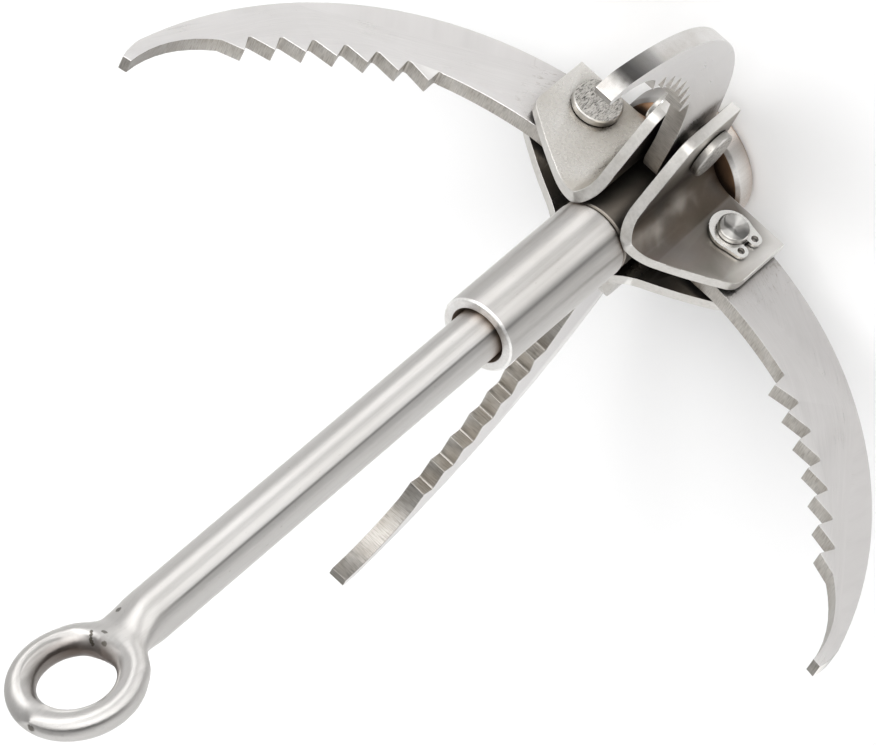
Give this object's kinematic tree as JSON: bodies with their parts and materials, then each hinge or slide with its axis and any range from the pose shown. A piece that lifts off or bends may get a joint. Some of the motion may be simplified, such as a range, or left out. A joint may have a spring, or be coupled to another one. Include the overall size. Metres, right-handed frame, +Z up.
{
  "type": "grapnel anchor",
  "caption": "Folding stainless steel grapnel: toothed claws hinge on a hub of folded brackets that slides along a round shank between an end disc and an eye.",
  "frame": {"origin": "centre of the flat front face of the end disc, on the shank's axis, where the shank's turned end is flush with it; the part stands on that face", "axes": "+Z runs up the shank from the end disc to the eye; -Y points along the front claw and +X along the right claw"},
  "size_m": [0.2053, 0.2111, 0.2287],
  "materials": {
    "satin_bar": "satin polished bar",
    "turned_disc": "turned, brushed round its rim",
    "satin_tube": "satin polished tube",
    "folded_sheet": "smooth rolled sheet with sheared edges",
    "brushed_plate": "brushed lengthways, cut edges left plain",
    "pin_steel": "turned, coarse face on the head",
    "spring_clip": "bright spring steel"
  },
  "bodies": {
    "shank": {"shank_with_eye": "satin_bar", "end_disc": "turned_disc"},
    "hub": {"guide_sleeve": "satin_tube", "hub_core": "satin_tube", "bracket_front_right": "folded_sheet", "bracket_front_left": "folded_sheet", "bracket_back_left": "folded_sheet", "bracket_back_right": "folded_sheet", "pivot_pin_front": "pin_steel", "pivot_pin_left": "pin_steel", "pivot_pin_back": "pin_steel", "pivot_pin_right": "pin_steel", "retaining_clip_front": "spring_clip", "retaining_clip_left": "spring_clip", "retaining_clip_back": "spring_clip", "retaining_clip_right": "spring_clip"},
    "front_claw": {"claw_front": "brushed_plate"},
    "left_claw": {"claw_left": "brushed_plate"},
    "back_claw": {"claw_back": "brushed_plate"},
    "right_claw": {"claw_right": "brushed_plate"}
  },
  "joints": [
    {"name": "hub_slide", "type": "slide", "parent": "shank", "child": "hub", "axis": [0, 0, 1], "range_m": [0, 0.108]},
    {"name": "front_claw_fold", "type": "hinge", "parent": "hub", "child": "front_claw", "pos_m": [0, -0.0212, 0.0143], "axis": [1, 0, 0], "range_deg": [-53, 0]},
    {"name": "left_claw_fold", "type": "hinge", "parent": "hub", "child": "left_claw", "pos_m": [-0.0212, 0, 0.0155], "axis": [0, -1, 0], "range_deg": [-55.5, 0]},
    {"name": "back_claw_fold", "type": "hinge", "parent": "hub", "child": "back_claw", "pos_m": [0, 0.0212, 0.0143], "axis": [-1, 0, 0], "range_deg": [-58.5, 0]},
    {"name": "right_claw_fold", "type": "hinge", "parent": "hub", "child": "right_claw", "pos_m": [0.0212, 0, 0.0143], "axis": [0, 1, 0], "range_deg": [-51, 0]}
  ]
}
